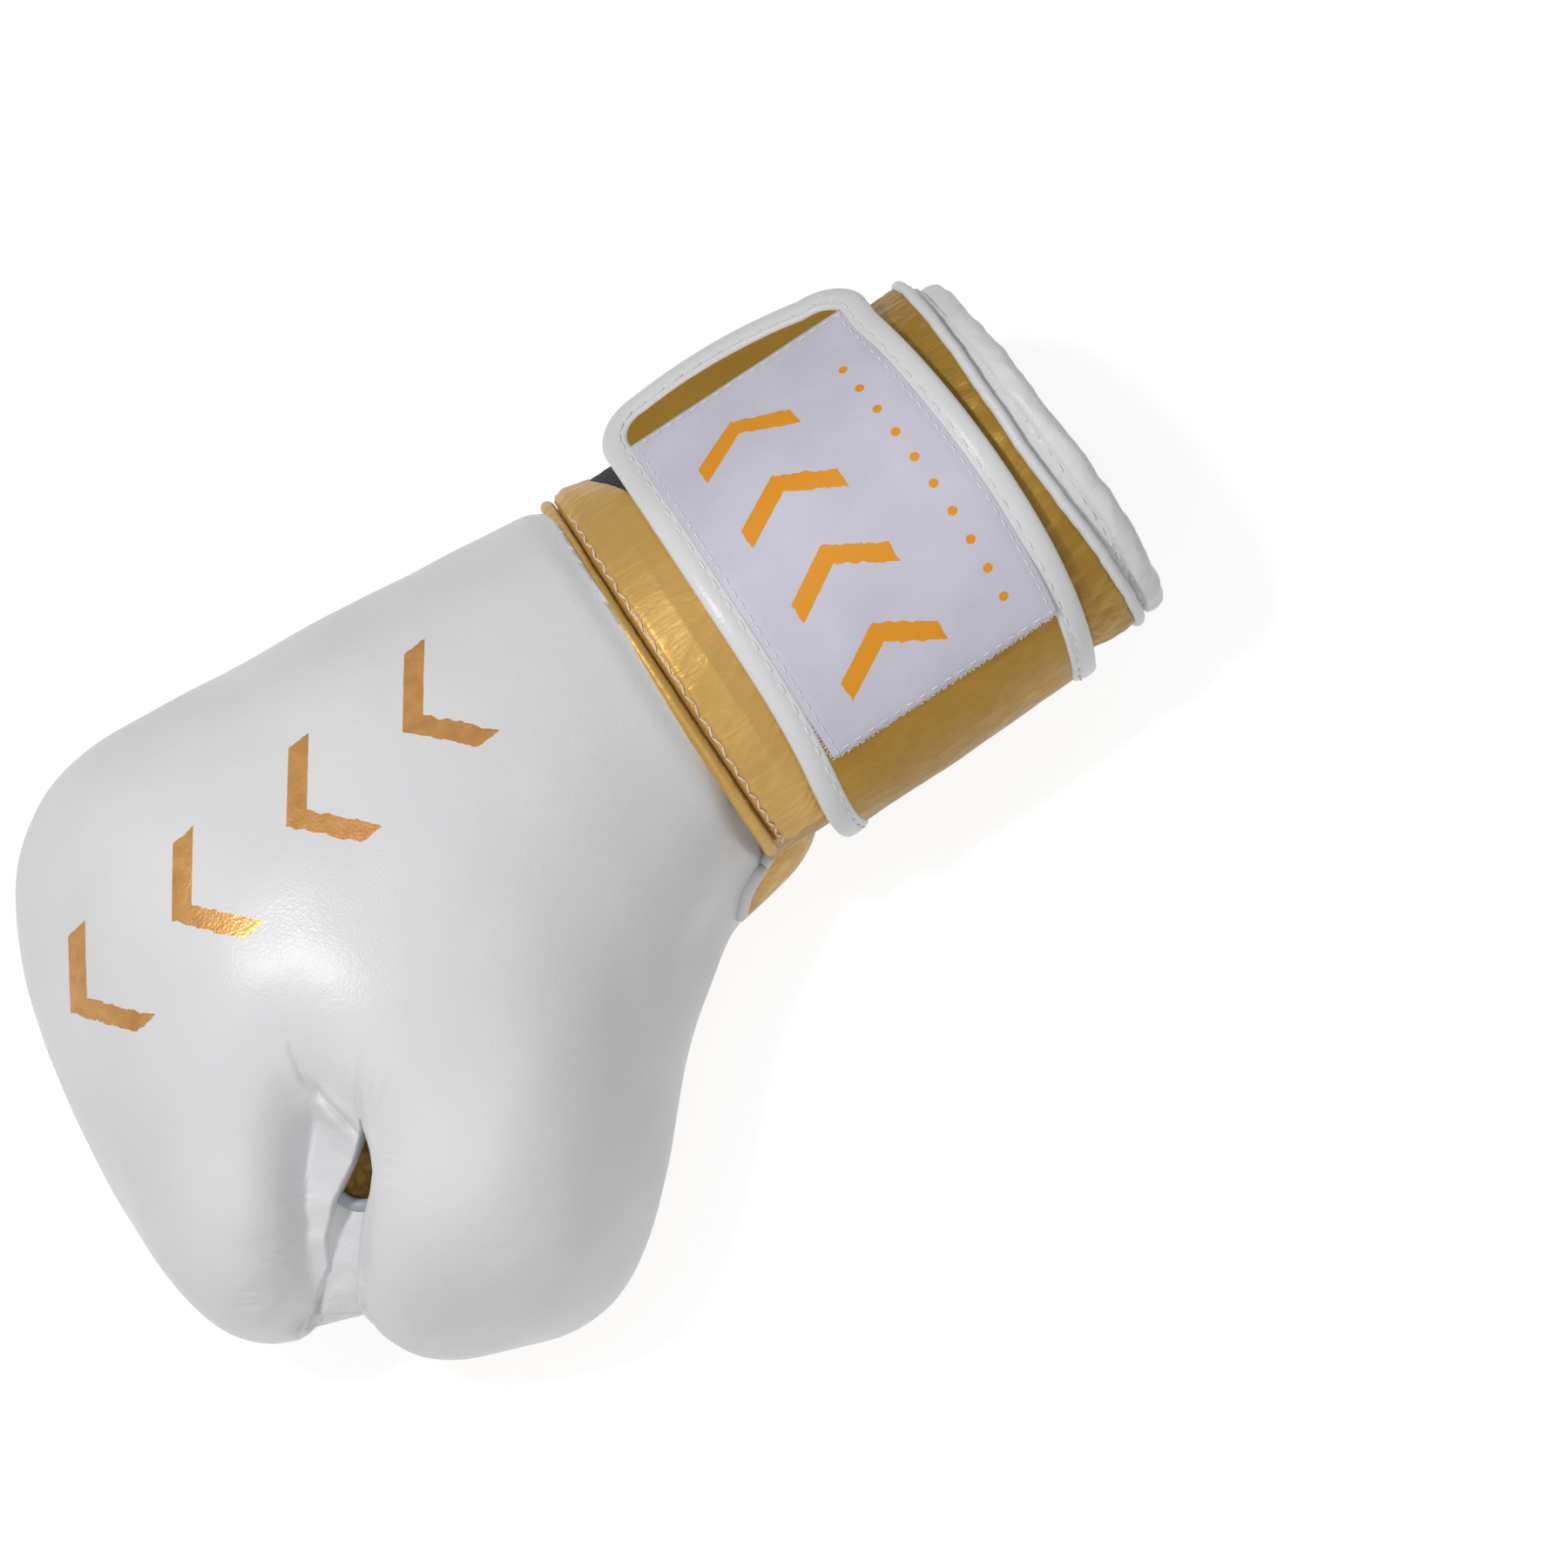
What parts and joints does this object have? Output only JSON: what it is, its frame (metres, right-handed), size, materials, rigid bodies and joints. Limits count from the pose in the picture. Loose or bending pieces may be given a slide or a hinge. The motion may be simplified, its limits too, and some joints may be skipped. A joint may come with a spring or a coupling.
{
  "type": "boxing glove",
  "caption": "Right-hand boxing glove with a padded fist, a tied thumb, and a wide wrap-round cuff strap closed by hook and loop.",
  "frame": {"origin": "centre of the wrist opening, on the forearm's axis", "axes": "+X along the forearm towards the fist, +Y towards the thumb's side, +Z out of the back of the hand; the glove lies palm down"},
  "size_m": [0.284, 0.172, 0.1145],
  "materials": {
    "white_leather": "smooth semi-gloss",
    "gold_leather": "metallic coated, creased",
    "binding_leather": "satin",
    "pad_foam": "closed-cell foam",
    "lining_fabric": "woven",
    "elastic_fabric": "ribbed",
    "loop_fabric": "brushed loop pile",
    "hook_fabric": "hook tape",
    "patch_satin": "satin weave",
    "thread": "twisted thread"
  },
  "bodies": {
    "glove": {"back_panel": "white_leather", "palm_panel": "gold_leather", "thumb_tie": "white_leather", "side_piping": "binding_leather", "pad_outer_layer": "pad_foam", "pad_middle_layer": "pad_foam", "pad_inner_layer": "pad_foam", "knuckle_pad": "pad_foam", "palm_foam": "pad_foam", "thumb_foam": "pad_foam", "grip_bar": "pad_foam", "hand_lining": "lining_fabric", "thumb_lining": "lining_fabric", "cuff_outer": "gold_leather", "cuff_foam": "pad_foam", "cuff_lining": "lining_fabric", "cuff_gusset": "elastic_fabric", "cuff_edge_roll": "white_leather", "cuff_outer_binding": "binding_leather", "wrist_band": "gold_leather", "wrist_band_lip": "gold_leather", "wrist_band_stitching": "thread", "strap_anchor": "gold_leather", "strap_anchor_stitching": "thread", "loop_panel": "loop_fabric"},
    "strap_root": {"strap_root_leather": "gold_leather", "strap_root_backing": "lining_fabric", "strap_root_binding": "binding_leather", "strap_root_stitching": "thread"},
    "strap_flap": {"strap_flap_leather": "gold_leather", "strap_flap_binding": "binding_leather", "strap_flap_stitching": "thread", "hook_panel": "hook_fabric", "strap_patch": "patch_satin"}
  },
  "joints": [
    {"name": "strap_root_hinge", "type": "hinge", "parent": "glove", "child": "strap_root", "pos_m": [0.0565, -0.009, -0.04717], "axis": [-1, 0, 0], "range_deg": [0, 12]},
    {"name": "strap_flap_hinge", "type": "hinge", "parent": "strap_root", "child": "strap_flap", "pos_m": [0.0565, 0.0558, 0], "axis": [-1, 0, 0], "range_deg": [0, 120]}
  ],
  "couplings": [
    {"joint": "strap_root_hinge", "follows": "strap_flap_hinge", "ratio": 0.1}
  ]
}
